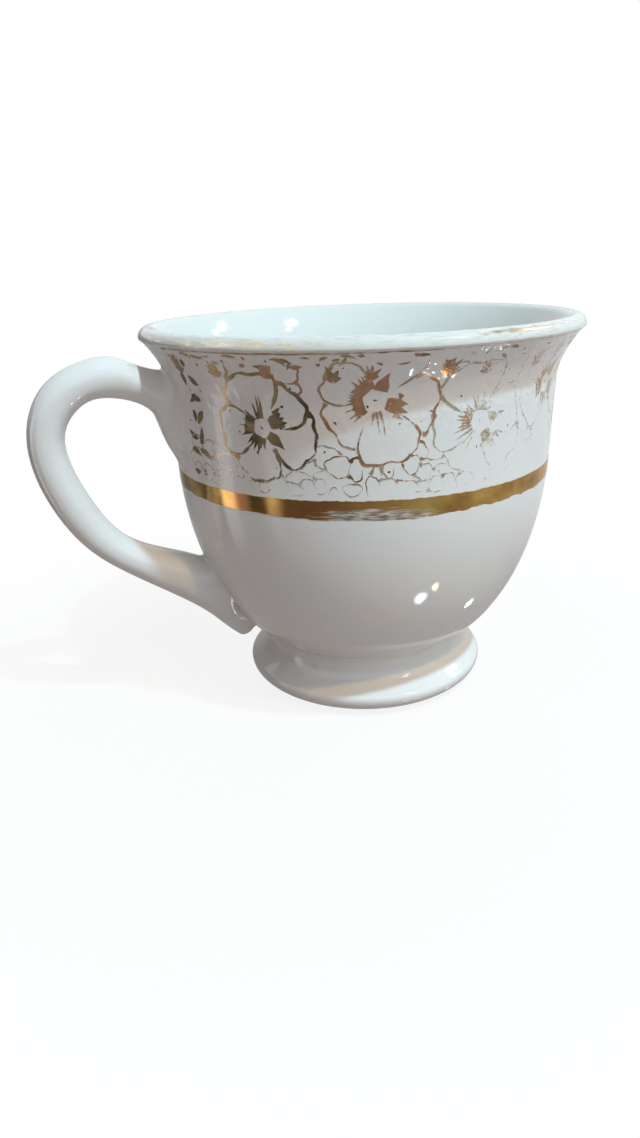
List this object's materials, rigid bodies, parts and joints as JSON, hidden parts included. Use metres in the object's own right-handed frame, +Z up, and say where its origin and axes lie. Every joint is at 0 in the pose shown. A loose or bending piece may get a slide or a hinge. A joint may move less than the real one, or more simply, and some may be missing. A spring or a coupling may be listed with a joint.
{
  "type": "footed coffee cup",
  "caption": "Footed coffee cup with a flared bowl, rolled lip, spreading foot, loop handle and gilt lines, for hot drinks.",
  "frame": {"origin": "on the standing face, under the middle of the box round the cup and its handle", "axes": "+Z up along the bowl's axis, -X from the bowl's axis towards the handle, and +Y across the handle's plane"},
  "size_m": [0.1108, 0.0882, 0.0778],
  "materials": {
    "glazed_bowl": "clear gloss glaze over an off-white body",
    "glazed_foot": "clear gloss glaze over an off-white body",
    "glazed_handle": "clear gloss glaze over an off-white body",
    "slip": "fired slip in the joints",
    "gilding": "burnished gold, rubbed thin in places"
  },
  "bodies": {
    "root": {"bowl": "glazed_bowl", "foot": "glazed_foot", "handle": "glazed_handle", "foot_slip_ring": "slip", "handle_upper_slip": "slip", "handle_lower_slip": "slip", "rim_gilding": "gilding", "belly_gold_band": "gilding"}
  },
  "joints": []
}
